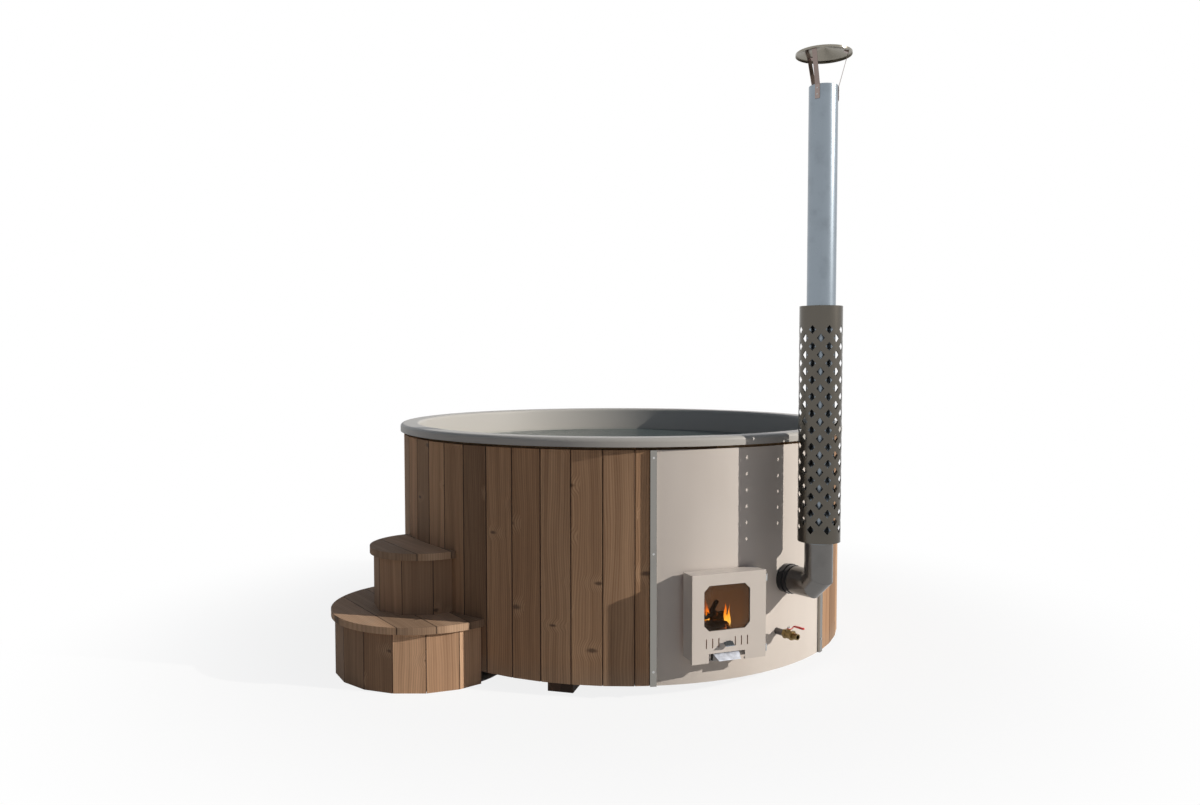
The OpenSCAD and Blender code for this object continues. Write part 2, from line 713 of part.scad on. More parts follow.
// Folded steel door with a chamfered window, air slots, a knob slot and the ash notch
module door_panel() color("antiquewhite") difference() {
    block(0, door_w, -door_face, -door_back, door_z, door_z + door_h);
    block(0, door_w - 2 * sheet_t, -(door_face - sheet_t), -(door_back - over),
        door_z + sheet_t, door_z + door_h - sheet_t);
    block(mouth_x, ash_w + 2 * notch_side, -(door_face + over), -(door_back - over), door_z - over, ash_top);
    upright_sheet(-(door_face + over), -(door_face - sheet_t - over)) {
        translate([0, window_z]) window_shape(0);
        slots();
        translate([mouth_x - knob_d / 2 - seat_gap, knob_z - knob_d / 2 - seat_gap])
            square([knob_d + slide_travel + 2 * seat_gap, knob_d + 2 * seat_gap]);
    }
}

glass_front = door_face - sheet_t;
glass_back = glass_front - glass_t;
module door_glass() color("orange", 0.6) upright_sheet(-glass_front, -glass_back)
    translate([0, window_z]) window_shape(window_frame);

module glass_frame() color("dimgray") upright_sheet(-glass_back, -(glass_back - frame_t)) difference() {
    translate([mouth_x, window_z])
        square([window_w + 3 * window_frame, window_h + 3 * window_frame], center = true);
    translate([0, window_z]) window_shape(0);
}

module glass_screws() color("silver") for (x = [-1, 1], z = [-1, 0, 1])
    translate([mouth_x + x * (window_w + 2 * window_frame) / 2, -(glass_back - frame_t),
        window_z + z * window_h / 3])
        rotate([-90, 0, 0]) cylinder(d = screw_d, h = screw_head_h);

seal_top = mouth_in_top + sheet_t + seal_w;
seal_bottom = ash_top + screw_head_h;
module door_seal() color("dimgray") upright_sheet(-glass_front, -(neck_front + seat_gap)) difference() {
    translate([-seal_in - seal_w, seal_bottom]) square([2 * (seal_in + seal_w), seal_top - seal_bottom]);
    translate([-seal_in, seal_bottom + seal_w]) square([2 * seal_in, seal_top - seal_bottom - 2 * seal_w]);
}

// Air slide behind the slots, and the strips that guide it
slide_half = slot_first + 2 * slot_pitch + slot_w / 2 + slide_margin;
slide_bottom = slot_z - slide_margin + guide_t;
slide_top = slot_z + slot_h + slide_margin - guide_t;
slide_front = glass_front - slide_gap;
module air_slide() color("silver") upright_sheet(-slide_front, -(slide_front - slide_t)) difference() {
    translate([mouth_x - slide_half, slide_bottom]) square([2 * slide_half, slide_top - slide_bottom]);
    slots();
}

guide_len = 2 * slide_half;
guide_back = slide_front - slide_t - slide_gap;
guide_top = slide_top + slide_gap + guide_w;
guide_bottom = slide_bottom - slide_gap - guide_w;
module slide_guides() color("dimgray") {
    block(mouth_x, guide_len, -glass_front, -guide_back, slide_top + slide_gap, guide_top);
    block(mouth_x, guide_len, -guide_back, -(guide_back - guide_t), slide_top - guide_lip, guide_top);
    block(mouth_x, guide_len, -glass_front, -guide_back, guide_bottom, slide_bottom - slide_gap);
    block(mouth_x, guide_len, -guide_back, -(guide_back - guide_t), guide_bottom, slide_bottom + guide_lip);
}

// Knob: a neck through the door and a bent finger plate
knob_t = 3;
knob_drop = 12;
module air_knob() color("silver") {
    translate([mouth_x, -slide_front, knob_z]) rotate([90, 0, 0])
        cylinder(d = knob_d, h = door_face + knob_out / 3 - slide_front);
    translate([mouth_x - knob_w / 2, 0, 0]) rotate([90, 0, 90]) linear_extrude(knob_w) polygon([
        [-(door_face + knob_out / 3), knob_z - knob_d / 2], [-(door_face + knob_out / 3), knob_z + knob_d / 2],
        [-(door_face + knob_out), knob_z + knob_d / 2 - knob_drop],
        [-(door_face + knob_out), knob_z + knob_d / 2 - knob_drop - knob_t],
        [-(door_face + knob_out / 3 + knob_t), knob_z + knob_d / 2 - knob_t - knob_t],
        [-(door_face + knob_out / 3 + knob_t), knob_z - knob_d / 2]]);
}

// Door side of the hinge: two knuckles with a leaf each
module hinge_knuckles() color("silver") for (z = knuckle_z) difference() {
    union() {
        translate([hinge_x, hinge_y, z]) cylinder(d = knuckle_d, h = knuckle_h);
        translate([door_x, hinge_y - sheet_t, z]) cube([hinge_x - door_x, sheet_t, knuckle_h]);
    }
    translate([hinge_x, hinge_y, z - over]) cylinder(d = pin_d + 2 * run_gap, h = knuckle_h + 2 * over);
}

// Fixed side: arms from the casing below and above each knuckle, and the pin between them
module hinge_brackets() color("silver") for (z = knuckle_z) {
    for (s = [z - seat_gap - bracket_t, z + knuckle_h + seat_gap]) translate([0, 0, s]) {
        translate([hinge_x, hinge_y, 0]) cylinder(d = knuckle_d, h = bracket_t);
        translate([hinge_x - knuckle_d / 2 + over, hinge_y, 0])
            cube([knuckle_d - over, arm_len, bracket_t]);
        translate([casing_w / 2, hinge_y + arm_len - arm_foot, 0])
            cube([hinge_x + knuckle_d / 2 - casing_w / 2, arm_foot, bracket_t]);
    }
    translate([hinge_x, hinge_y, z - seat_gap - bracket_t])
        cylinder(d = pin_d, h = knuckle_h + 2 * (seat_gap + bracket_t));
}
arm_len = 34;
arm_foot = 22;

// Shallow ash pan and its sloping pull tab
module ash_pan() color("gray") difference() {
    block(mouth_x, pan_w, -pan_front, -pan_back, pan_z, pan_z + pan_h);
    block(mouth_x, pan_w - 2 * pan_t, -(pan_front - pan_t), -(pan_back + pan_t),
        pan_z + pan_t, pan_z + pan_h + over);
}

module ash_pan_tab() color("lightsteelblue") intersection() {
    translate([mouth_x - tab_w / 2, 0, 0]) rotate([90, 0, 90]) linear_extrude(tab_w) polygon([
        [-pan_front, pan_z + pan_h - tab_t], [-pan_front, pan_z + pan_h],
        [-pan_front - tab_out, pan_z + pan_h - tab_drop], [-pan_front - tab_out, pan_z + pan_h - tab_drop - tab_t]]);
    linear_extrude(pan_z + pan_h + over) let (w = tab_w / 2, n = tab_w / 2 - pan_lip) polygon([
        [mouth_x - w, -pan_front], [mouth_x + w, -pan_front], [mouth_x + n, -(pan_front + tab_out + over)],
        [mouth_x - n, -(pan_front + tab_out + over)]]);
}

// Places a piece at the stair's centre, and cuts it to the round of the cladding
module in_stair() difference() {
    at(stair_a) translate([0, -stair_at, 0]) children();
    cylinder(r = stair_at, h = high_z + over, $fn = 180);
}

module riser(r, side, z0, z1) let (half = side / 2, in_r = r - riser_t / cos(half), g = board_gap / 2)
    translate([0, 0, z0]) linear_extrude(z1 - z0) polygon([
        [g - r * sin(half), -r * cos(half)], [r * sin(half) - g, -r * cos(half)],
        [in_r * sin(half) - g, -in_r * cos(half)], [g - in_r * sin(half), -in_r * cos(half)]]);

module lower_risers() color("peru") in_stair() for (i = [0 : low_sides - 1])
    at(low_first_a + low_side_a * (i + 0.5)) riser(low_r, low_side_a, 0, low_z - tread_t);

module upper_risers() color("peru") in_stair() for (i = [0 : high_sides - 1])
    at(high_first_a + high_side_a * (i + 0.5)) riser(high_r, high_side_a, low_z, high_z - tread_t);

// Planks of a round tread, of which the outermost runs on to the edge
module treads(r, z) in_stair() let (n = round((r - plank_first) / plank_pitch)) for (i = [0 : n - 1])
    intersection() {
        translate([0, 0, z - tread_t]) cylinder(r = r, h = tread_t, $fn = 180);
        block(0, 2 * r + over, -(plank_first + i * plank_pitch),
            i < n - 1 ? plank_gap - plank_first - (i + 1) * plank_pitch : -r - over,
            z - tread_t - over, z + over);
    }
module lower_treads() color("peru") treads(low_r + tread_nose, low_z);
module upper_treads() color("peru") treads(high_r + tread_nose, high_z);

// Battens under each tread, with legs at the ends that the risers are nailed to
module stair_frame() color("peru") in_stair() for (s = [-1, 1]) {
    batten_pair(s * low_batten_x, low_r * cos(low_side_a / 2) - riser_t, 0, low_z - tread_t);
    batten_pair(s * high_batten_x, high_r * cos(high_side_a / 2) - riser_t, low_z, high_z - tread_t);
}
module batten_pair(x, in_r, z0, z1) let (reach = sqrt(pow(in_r - over, 2) - pow(abs(x) + batten / 2, 2))) {
    block(x, batten, -reach, -frame_back, z1 - batten, z1);
    block(x, batten, -reach, batten - reach, z0, z1);
    block(x, batten, -frame_back - batten, -frame_back, z0, z1);
}
frame_back = 0;

liner();
cladding_left();
cladding_back();
cladding_right();
ripped_boards();
cover_panel();
panel_backing();
edge_trims();
trim_screws();
skids();
base_deck();
floor_bearers();
lower_hoop();
middle_hoop();
upper_hoop();
posts();
furnace_shell();
furnace_feet();
fire_grate();
ash_rails();
mouth_neck();
mouth_casing();
water_pipes();
pipe_grilles();
flue_outlet();
flue_stub();
flue_elbow();
flue_pipe();
heat_guard();
guard_spacers();
rain_cap();
cap_straps();
cap_rivets();
floor_drain();
drain_pipe();
valve_body();
hose_tail();
hinge_brackets();
stair_frame();
lower_risers();
upper_risers();
lower_treads();
upper_treads();
door_panel();
door_glass();
glass_frame();
glass_screws();
door_seal();
slide_guides();
hinge_knuckles();
air_slide();
air_knob();
ash_pan();
ash_pan_tab();
valve_stem();
valve_ball();
valve_lever();
lever_nut();
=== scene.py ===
"""Outdoor hot tub with a wood-fired furnace: finishes, water, fire, studio and camera."""

import math
import random

import bmesh
import bpy
from mathutils import Matrix, Vector, noise


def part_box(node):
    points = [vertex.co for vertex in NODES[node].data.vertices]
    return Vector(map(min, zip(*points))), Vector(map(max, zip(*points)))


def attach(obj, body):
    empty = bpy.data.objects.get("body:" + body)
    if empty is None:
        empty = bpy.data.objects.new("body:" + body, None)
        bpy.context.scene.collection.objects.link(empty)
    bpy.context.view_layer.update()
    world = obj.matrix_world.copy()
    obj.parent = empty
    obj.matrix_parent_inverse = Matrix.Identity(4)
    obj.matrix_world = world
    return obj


bl_info = {
    "name": "Wood-fired hot tub",
    "version": (1, 0, 0),
    "blender": (4, 5, 0),
    "location": "3D View > Sidebar > Hot Tub",
    "description": "Finishes, water, fire and studio for a timber-clad hot tub with an outside flue",
    "category": "Object",
}

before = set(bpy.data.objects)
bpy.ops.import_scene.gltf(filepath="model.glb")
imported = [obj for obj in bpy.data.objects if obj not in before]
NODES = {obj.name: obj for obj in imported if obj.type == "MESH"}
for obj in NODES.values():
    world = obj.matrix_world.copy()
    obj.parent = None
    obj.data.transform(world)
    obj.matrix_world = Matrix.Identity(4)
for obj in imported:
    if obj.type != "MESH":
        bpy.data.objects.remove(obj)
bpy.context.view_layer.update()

# Layout of the tub in metres and degrees, as the solids have it.
# Angles about the tub's axis start at the door, which faces -Y, and grow towards +X.
BOARD_R = 1.082  # face of the cladding
BOARD_START = 41.26  # edge of the first board
BOARD_STEP = 6.818  # from one board to the next
STAIR_A = -75.25  # where the stair's own axis stands
STAIR_R = 1.0842  # and how far it is from the tub's
RISER_R = 0.39  # radius that turns the stair's angles into metres of grain
PLANK_START = -0.146  # edge of the first tread plank, away from the stair's axis
PLANK_STEP = 0.1395
LOW_TREAD = 0.249  # the lower risers end below this height
LOW_STAVES = -95.0  # edge of the first lower riser stave
LOW_STAVE_A = 20.0
HIGH_STAVES = -97.0
HIGH_STAVE_A = 34.0
SKID_A = -35.5  # direction of the skids
WATER_MARK = 0.937  # height of the dull line in the liner
PANE = (-0.010, 0.381)  # middle of the door's window, X and Z
FIRE_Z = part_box("fire_grate")[1].z

# The key light's direction and its height over the horizon, in degrees.
KEY_A = 56.3
KEY_RISE = 22.0

BLACK = (0, 0, 0)
WHITE = (1, 1, 1)
PALE_WOOD = (0.56, 0.355, 0.215)
DARK_WOOD = (0.24, 0.135, 0.075)
KNOT_WOOD = (0.062, 0.032, 0.018)
GREY_WOOD = (0.34, 0.30, 0.25)
JOINT_SHADE = (0.022, 0.013, 0.009)
KNOT_CELL = (0.13, 0.42)  # metres of board, across and along, that hold one knot at most
KNOT_SHAPE = (0.075, 0.55)  # scales from a knot's middle, so that knots lie flat
NO_KNOT = 0.58  # share of those cells without a knot
JOINT_SHARE = 0.012  # share of a board's width that its dark edge takes
RING_PITCH = 640  # radians of growth ring in a metre across the board


def about_axis(angle, radius, height=0.0):
    """Point at an angle and a radius from the tub's axis."""
    a = math.radians(angle)
    return Vector((radius * math.sin(a), -radius * math.cos(a), height))


class Value:
    """One number output of a node tree, which takes part in ordinary sums."""

    def __init__(self, look, socket):
        self.look = look
        self.socket = socket

    def _sum(self, kind, *others):
        return self.look.node("ShaderNodeMath", {"operation": kind}, (self, *others))

    def __add__(self, other):
        return self._sum("ADD", other)

    __radd__ = __add__

    def __mul__(self, other):
        return self._sum("MULTIPLY", other)

    __rmul__ = __mul__

    def __sub__(self, other):
        return self._sum("SUBTRACT", other)

    def __rsub__(self, other):
        return self * -1.0 + other

    def __truediv__(self, other):
        return self._sum("DIVIDE", other)

    def __rtruediv__(self, other):
        return self._sum("POWER", -1.0) * other

    def __pow__(self, other):
        return self._sum("POWER", other)

    def __gt__(self, other):
        return self._sum("GREATER_THAN", other)

    def __lt__(self, other):
        return self._sum("LESS_THAN", other)

    def __mod__(self, other):
        return self._sum("FLOORED_MODULO", other)

    def floor(self):
        return self._sum("FLOOR")

    def sine(self):
        return self._sum("SINE")

    def abs(self):
        return self._sum("ABSOLUTE")

    def ramp(self, low, high):
        """0 below low, 1 above high and smooth between them."""
        return self.look.node(
            "ShaderNodeMapRange",
            {"interpolation_type": "SMOOTHSTEP"},
            {"Value": self, "From Min": low, "From Max": high},
        )


class Look:
    """A material, or a world, and the nodes that make it."""

    def __init__(self, name, kind="materials"):
        self.owner = getattr(bpy.data, kind).new(name)
        self.owner.use_nodes = True
        self.tree = self.owner.node_tree
        self.tree.nodes.clear()

    def node(self, kind, settings=None, sockets=None, out=0):
        """Any node: its settings are set first, then its sockets by order or by name."""
        made = self.tree.nodes.new(kind)
        for key, value in (settings or {}).items():
            if key == "stops":
                ramp = made.color_ramp
                while len(ramp.elements) < len(value):
                    ramp.elements.new(0.5)
                for stop, (at, colour) in zip(ramp.elements, value):
                    stop.position = at
                    stop.color = (*colour, 1)
            else:
                setattr(made, key, value)
        pairs = sockets.items() if isinstance(sockets, dict) else enumerate(sockets or ())
        for key, value in pairs:
            self.put(made.inputs[key], value)
        return Value(self, made.outputs[out]) if made.outputs else None

    def put(self, socket, value):
        """Links a node's output to a socket, or sets the socket's own value."""
        if isinstance(value, Value):
            self.tree.links.new(value.socket, socket)
        elif isinstance(value, tuple) and len(value) == 3 and len(socket.default_value) == 4:
            socket.default_value = (*value, 1)
        else:
            socket.default_value = value

    def parts(self, vector):
        """X, Y and Z of a vector."""
        split = self.node("ShaderNodeSeparateXYZ", None, (vector,)).socket.node
        return [Value(self, socket) for socket in split.outputs]

    def place(self):
        """X, Y and Z of the point in the object's own space, which is the row frame."""
        return self.parts(self.node("ShaderNodeTexCoord", out="Object"))

    def vector(self, x, y, z):
        return self.node("ShaderNodeCombineXYZ", None, (x, y, z))

    def noise(self, where, scale=1.0, detail=3.0, rough=0.5):
        sockets = {"Vector": where, "Scale": scale, "Detail": detail, "Roughness": rough}
        return self.node("ShaderNodeTexNoise", None, sockets)

    def chance_at(self, where):
        """A number from 0 to 1 that only depends on the vector."""
        return self.node("ShaderNodeTexWhiteNoise", {"noise_dimensions": "3D"}, {"Vector": where})

    def chance(self, *parts):
        """The same for one, two or three numbers."""
        return self.chance_at(self.vector(*(list(parts) + [0.5, 0.5])[:3]))

    def mix(self, share, a, b, kind="MIX"):
        """Colour a, with a share of colour b."""
        settings = {"data_type": "RGBA", "blend_type": kind}
        return self.node("ShaderNodeMix", settings, {0: share, 6: a, 7: b}, out=2)

    def times(self, a, b):
        """Two colours multiplied."""
        return self.mix(1.0, a, b, "MULTIPLY")

    def stops(self, value, *stops):
        return self.node("ShaderNodeValToRGB", {"stops": stops}, (value,))

    def bump(self, height, strength, depth, under=None):
        sockets = {"Height": height, "Strength": strength, "Distance": depth}
        if under is not None:
            sockets["Normal"] = under
        return self.node("ShaderNodeBump", None, sockets)

    def principled(self, **sockets):
        """A Principled shader. Its sockets are named with _ for a space."""
        named = {key.replace("_", " "): value for key, value in sockets.items()}
        return self.node("ShaderNodeBsdfPrincipled", None, named)

    def output(self, shader, kind="ShaderNodeOutputMaterial"):
        """Joins the last shader to the output, and hands back the material or world."""
        self.node(kind, None, {"Surface": shader})
        return self.owner

    def finish(self, **sockets):
        """Ends the material with one Principled shader."""
        return self.output(self.principled(**sockets))


def knots(look, across, along, seed):
    """1 in the knots of a board, and 1 in the wider rings about them."""
    wide, tall = KNOT_CELL
    cell = look.vector(
        across / wide + look.chance(seed, 1.3) * 9,
        along / tall + look.chance(seed, 8.1) * 9,
        seed,
    )
    sockets = {"Vector": cell, "Scale": 1.0}
    centre = look.node("ShaderNodeTexVoronoi", {"feature": "F1"}, sockets, out="Position")
    away = look.parts(look.node("ShaderNodeVectorMath", {"operation": "SUBTRACT"}, (cell, centre)))
    dx = away[0] * KNOT_SHAPE[0]
    dy = away[1] * KNOT_SHAPE[1]
    ragged_by = 0.009
    ragged = look.noise(look.vector(across * 60, along * 90, seed), 1.0, 3.0) - 0.5
    reach = (dx * dx + dy * dy) ** 0.5 + ragged * ragged_by
    picked = look.chance_at(centre) > NO_KNOT
    other = look.node("ShaderNodeVectorMath", {"operation": "SCALE"}, {0: centre, "Scale": 2.3})
    smallest, spread = 0.008, 0.008
    size = look.chance_at(other) * spread + smallest
    knot = (1 - (reach / size).ramp(0.3, 1.3)) * picked
    halo = (1 - (reach / size).ramp(0.9, 5.0)) * picked
    return knot, halo


def timber(look, across, along, seed, pale=PALE_WOOD, dark=DARK_WOOD, wear=None, seam=None):
    """Heat-treated softwood. across and along are metres in the board's own face."""
    tone = look.chance(seed, 3.7)
    drift = look.noise(look.vector(across * 4, along * 1.1, seed * 3.1), 1.0, 2.0) - 0.5
    knot, halo = knots(look, across, along, seed)
    bent = across + (drift * 0.09 + halo * 0.016)
    rings = (bent * RING_PITCH + tone * 20).sine() * 0.5 + 0.5
    fibre = look.noise(look.vector(across * 620, along * 10, seed * 5.3), 1.0, 4.0, 0.65)
    streak = look.noise(look.vector(bent * 60, along * 0.7, seed * 2.9), 1.0, 3.0, 0.6)
    broad = look.noise(look.vector(bent * 15, along * 0.45, seed * 7.7), 1.0, 2.0)
    figure = rings * 0.13 + fibre * 0.30 + streak * 0.50 + broad * 0.42 - 0.17
    body = look.mix(figure.ramp(0.18, 0.86), dark, pale)
    warm = look.mix(look.chance(seed, 5.9) * 0.5, body, look.times(body, (1.06, 0.93, 0.82)))
    brightness = tone * 0.80 + 0.56
    toned = look.times(warm, look.vector(brightness, brightness, brightness))
    bright = look.mix(halo * rings * 0.5, toned, pale)
    knotted = look.mix(knot * 0.80, bright, KNOT_WOOD)
    worn = knotted if wear is None else look.mix(wear, knotted, GREY_WOOD)
    edged = worn if seam is None else look.mix(seam * 0.8, worn, JOINT_SHADE)
    return look.finish(
        Base_Color=edged,
        Roughness=0.62 + fibre * 0.22 - knot * 0.15,
        Specular_IOR_Level=0.25,
        Normal=look.bump(figure * 0.5 + knot * 0.4 + fibre * 0.35, 0.22, 0.0010),
    )


def turn_about(look, x, y):
    """Angle about an upright axis in degrees, 0 towards -Y and growing towards +X."""
    angle = look.node("ShaderNodeMath", {"operation": "ARCTAN2"}, (x, y * -1.0))
    return angle * (180 / math.pi)


def joint_line(place):
    """1 beside the whole numbers of place, where one board ends and the next begins."""
    from_middle = ((place % 1) - 0.5).abs()
    return from_middle.ramp(0.5 - 2 * JOINT_SHARE, 0.5 - JOINT_SHARE * 0.5)


def cladding_timber():
    """Upright boards about the tub, dull from splashes near the ground."""
    look = Look("cladding_timber")
    x, y, z = look.place()
    turn = (turn_about(look, x, y) - BOARD_START) % 360
    place = turn / BOARD_STEP
    number = place.floor()
    across = (turn - number * BOARD_STEP) * (math.pi / 180 * BOARD_R)
    damp = (1 - z.ramp(0.05, 0.16)) * look.noise(look.vector(x * 9, y * 9, z * 6)) * 0.35
    return timber(look, across, z, number, wear=damp, seam=joint_line(place))


def riser_timber():
    """Upright staves of the stair, numbered about the stair's own axis."""
    look = Look("riser_timber")
    x, y, z = look.place()
    axis = about_axis(STAIR_A, STAIR_R)
    turn = turn_about(look, x - axis.x, y - axis.y)
    lower = z < LOW_TREAD
    first = lower * (LOW_STAVES - HIGH_STAVES) + HIGH_STAVES
    width = lower * (LOW_STAVE_A - HIGH_STAVE_A) + HIGH_STAVE_A
    place = (turn - STAIR_A - first) / width
    across = turn * (math.pi / 180 * RISER_R)
    pale = (0.59, 0.38, 0.24)
    dark = (0.30, 0.18, 0.108)
    return timber(look, across, z, place.floor() + 70, pale, dark, seam=joint_line(place))


def tread_timber():
    """Planks of the round treads, which lie side by side away from the tub."""
    look = Look("tread_timber")
    x, y, z = look.place()
    out = about_axis(STAIR_A, 1.0)
    away = x * out.x + y * out.y - STAIR_R
    along = x * -out.y + y * out.x
    place = (away - PLANK_START) / PLANK_STEP
    dust = look.noise(look.vector(x * 7, y * 7, z * 7), 1.0, 4.0).ramp(0.5, 0.8) * 0.22
    pale = (0.48, 0.33, 0.22)
    dark = (0.25, 0.16, 0.102)
    return timber(look, away, along, place.floor() + 31, pale, dark, dust, joint_line(place))


def frame_timber():
    """Sawn timber that the cladding hides."""
    look = Look("frame_timber")
    x, y, z = look.place()
    seed = (x * 3).floor() + (y * 3).floor() * 7
    return timber(look, x + y * 0.3, z + y, seed, (0.46, 0.33, 0.2), (0.27, 0.17, 0.09))


def skid_timber():
    """Dark pressure-treated skids, with the grain along their length."""
    look = Look("skid_timber")
    x, y, z = look.place()
    run = about_axis(SKID_A, 1.0)
    side = x * -run.y + y * run.x
    along = x * run.x + y * run.y
    return timber(look, side + z, along, (side * 2).floor(), (0.10, 0.065, 0.045), (0.035, 0.022, 0.016))


def satin_paint():
    """Powder-coated sheet: fine orange peel, faint rolling waves, dust towards the ground."""
    look = Look("satin_paint")
    x, y, z = look.place()
    spot = look.vector(x, y, z)
    peel = look.noise(spot, 900, 2.0)
    wave = look.noise(look.vector(x * 2, y * 2, z * 0.7), 2.2, 2.0)
    dust = (1 - z.ramp(0.04, 0.22)) * look.noise(spot, 14, 4.0) * 0.35
    base = look.mix(wave.ramp(0.3, 0.7), (0.58, 0.525, 0.48), (0.62, 0.565, 0.52))
    return look.finish(
        Base_Color=look.mix(dust, base, (0.42, 0.38, 0.33)),
        Roughness=peel * 0.12 + 0.40,
        Specular_IOR_Level=0.3,
        Coat_Weight=0.08,
        Coat_Roughness=0.25,
        Normal=look.bump(peel, 0.06, 0.0003, look.bump(wave, 0.12, 0.004)),
    )


def gelcoat():
    """Moulded liner: speckled gelcoat with a painted shade that makes it darker low in the well, and a
    dull water line.
    """
    look = Look("gelcoat")
    x, y, z = look.place()
    spot = look.vector(x, y, z)
    speck = look.noise(spot, 620, 2.0, 0.7)
    cloud = look.noise(spot, 5, 3.0)
    near_line = 1 - ((z - WATER_MARK).abs() / 0.007).ramp(0.2, 1.0)
    line = near_line * cloud.ramp(0.3, 0.7) * 0.4
    # Painted shade: the gelcoat is a little darker lower down in the well.
    base = look.mix(z.ramp(0.90, 1.035), (0.425, 0.405, 0.375), (0.435, 0.42, 0.395))
    toned = look.mix(speck.ramp(0.55, 0.75) * 0.22, base, (0.74, 0.72, 0.70))
    return look.finish(
        Base_Color=look.mix(line, toned, (0.30, 0.31, 0.28)),
        Roughness=cloud * 0.1 + 0.38,
        Specular_IOR_Level=0.22,
        Coat_Weight=0.05,
        Coat_Roughness=0.15,
        Normal=look.bump(cloud, 0.08, 0.003, look.bump(speck, 0.03, 0.0003)),
    )


def mirror_steel(name, haze, dirt, tint=(0.25, 0.29, 0.33), sheet_warp=0.25):
    """Bright rolled steel: long faint roll lines, wavy sheet, finger marks and dull patches."""
    look = Look(name)
    x, y, z = look.place()
    spot = look.vector(x, y, z)
    smear = look.noise(spot, 11, 4.0, 0.6)
    roll = look.noise(look.vector(x * 500, y * 500, z * 7), 1.0, 2.0)
    warp = look.noise(look.vector(x * 9, y * 9, z * 2.2), 1.0, 2.0)
    # The tint is a painted reflection: bluish where sky is mirrored, darker where dark things are.
    dull = tuple(c * 0.66 for c in tint)
    return look.finish(
        Base_Color=look.mix(smear.ramp(0.45, 0.8) * dirt, tint, dull),
        Metallic=1.0,
        Roughness=smear * 0.10 + roll * 0.05 + haze - 0.04,
        Normal=look.bump(warp, sheet_warp, 0.004, look.bump(roll, 0.05, 0.0002)),
    )


def plain_metal(name, tint, haze, pits=0.0, rust=0.0):
    """Cast, forged or galvanised metal with blotches, pits and rust where asked for."""
    look = Look(name)
    x, y, z = look.place()
    spot = look.vector(x, y, z)
    blotch = look.noise(spot, 45, 4.0, 0.6)
    grit = look.noise(spot, 1400, 2.0)
    scale = look.noise(spot, 24, 5.0, 0.7).ramp(0.48, 0.68) * rust
    shade = look.mix(blotch.ramp(0.3, 0.75), tuple(c * 0.72 for c in tint), tint)
    return look.finish(
        Base_Color=look.mix(scale, shade, (0.19, 0.075, 0.032)),
        Metallic=1 - scale * 0.9,
        Roughness=blotch * 0.2 + haze + scale * 0.3,
        Normal=look.bump(grit, 0.12 + pits * 0.3, 0.0004, look.bump(blotch, 0.1 + pits, 0.0006)),
    )


def enamel(name, tint):
    """Dipped plastic or enamel: glossy, with scuffs and a few chips."""
    look = Look(name)
    x, y, z = look.place()
    spot = look.vector(x, y, z)
    scuff = look.noise(spot, 210, 4.0, 0.7).ramp(0.62, 0.72) * 0.25
    cloud = look.noise(spot, 60, 2.0)
    base = look.mix(cloud, tint, tuple(c * 0.8 for c in tint))
    return look.finish(
        Base_Color=look.mix(scuff, base, (0.35, 0.30, 0.28)),
        Roughness=cloud * 0.1 + 0.28 + scuff * 0.3,
        Normal=look.bump(cloud, 0.15, 0.0004),
    )


def stove_glass():
    """Heat-proof pane, smoked brown towards its edges."""
    look = Look("stove_glass")
    x, y, z = look.place()
    half_width, half_height = 0.1, 0.09
    soot = look.noise(look.vector(x, y, z), 26, 4.0, 0.6)
    aside = ((x - PANE[0]).abs() / half_width).ramp(0.55, 1.0)
    above = ((z - PANE[1]).abs() / half_height).ramp(0.5, 1.0)
    film = ((aside + above) * 0.4 + soot.ramp(0.5, 0.85) * 0.3).ramp(0.0, 1.1)
    clear = look.node("ShaderNodeBsdfTransparent", None, ((0.96, 0.93, 0.88),))
    smoked = look.principled(
        Base_Color=look.mix(soot, (0.030, 0.018, 0.010), (0.075, 0.045, 0.025)),
        Roughness=soot * 0.15 + 0.05,
        Normal=look.bump(soot, 0.04, 0.001),
    )
    return look.output(look.node("ShaderNodeMixShader", None, (film * 0.35 + 0.08, clear, smoked)))


def rope_seal():
    """Twisted glass-fibre rope that seals the door."""
    look = Look("rope_seal")
    x, y, z = look.place()
    twist = ((x + z) * 700 + look.noise(look.vector(x, y, z), 90) * 3).sine() * 0.5 + 0.5
    return look.finish(
        Base_Color=look.mix(twist, (0.10, 0.095, 0.09), (0.27, 0.26, 0.24)),
        Roughness=twist * 0.1 + 0.85,
        Normal=look.bump(twist, 0.6, 0.001),
    )


def furnace_iron():
    """Inside of the furnace: scaled plate with a painted glow of dull brown firelight, less so high up."""
    look = Look("furnace_iron")
    x, y, z = look.place()
    scale = look.noise(look.vector(x, y, z), 38, 5.0, 0.65)
    chamber_half = 0.199
    inside = x.abs() < chamber_half
    # Painted firelight: the walls low in the chamber glow as if the fire lit them.
    painted_firelight = (1 - z.ramp(0.22, 0.60) * 0.6) * inside * 0.8
    return look.finish(
        Base_Color=look.mix(scale, (0.05, 0.034, 0.024), (0.09, 0.06, 0.04)),
        Metallic=0.4,
        Roughness=scale * 0.2 + 0.6,
        Emission_Color=look.mix(painted_firelight * (scale * 0.3 + 0.7), BLACK, (0.170, 0.083, 0.043)),
        Emission_Strength=1.0,
        Normal=look.bump(scale, 0.3, 0.001),
    )


